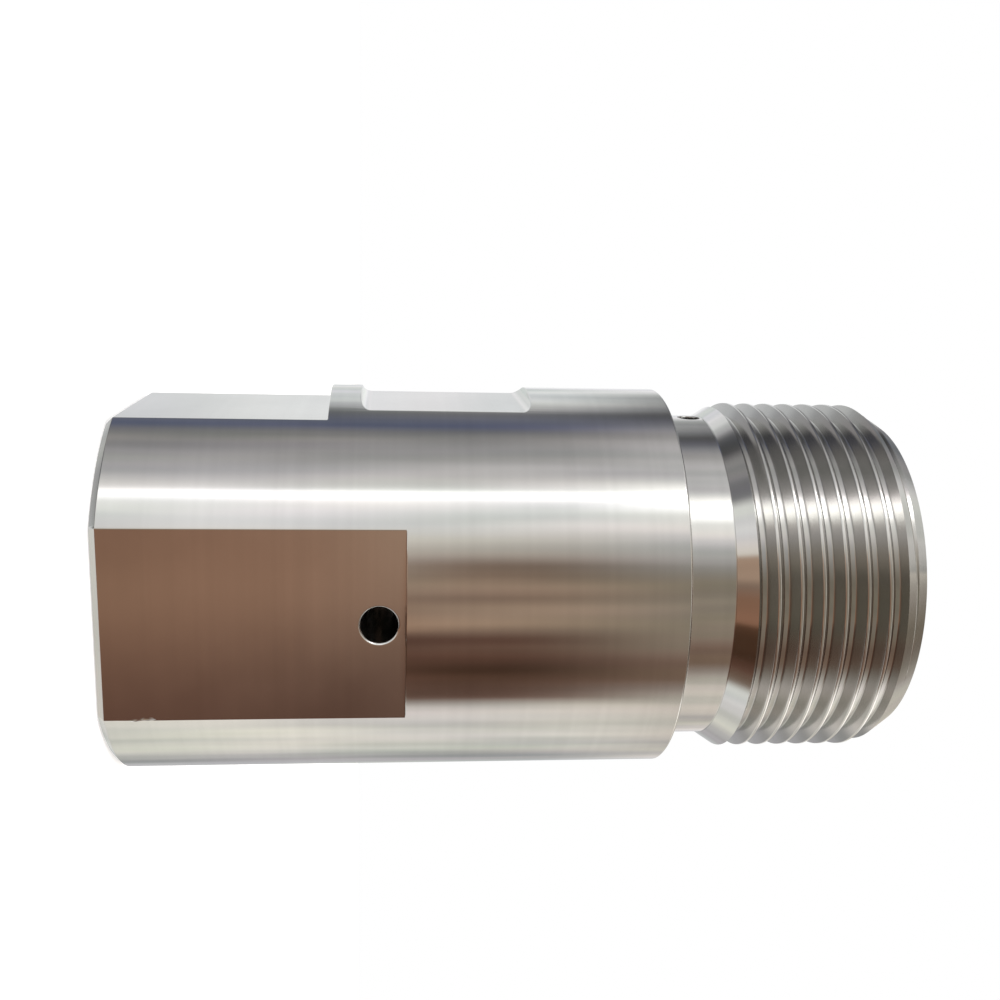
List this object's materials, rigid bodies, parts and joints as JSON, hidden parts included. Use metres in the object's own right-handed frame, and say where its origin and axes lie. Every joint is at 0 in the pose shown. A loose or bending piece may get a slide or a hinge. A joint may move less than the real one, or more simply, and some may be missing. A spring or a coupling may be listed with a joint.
{
  "type": "waterjet cutting head body",
  "caption": "Turned steel waterjet cutting head body with wrench flats, a relief neck, a coarse male thread, a deep bore, a through hole and radial vents.",
  "frame": {"origin": "centre of the plain end face, on the turned axis", "axes": "+Z along the turned axis from the plain end to the threaded end; -Y out of the long wrench flat with the vent; -X towards the rib, the recess and the neck vent"},
  "size_m": [0.073, 0.073, 0.1441],
  "materials": {
    "machined_steel": "bright turned and milled steel, unplated"
  },
  "bodies": {
    "root": {"head_body": "machined_steel"}
  },
  "joints": []
}
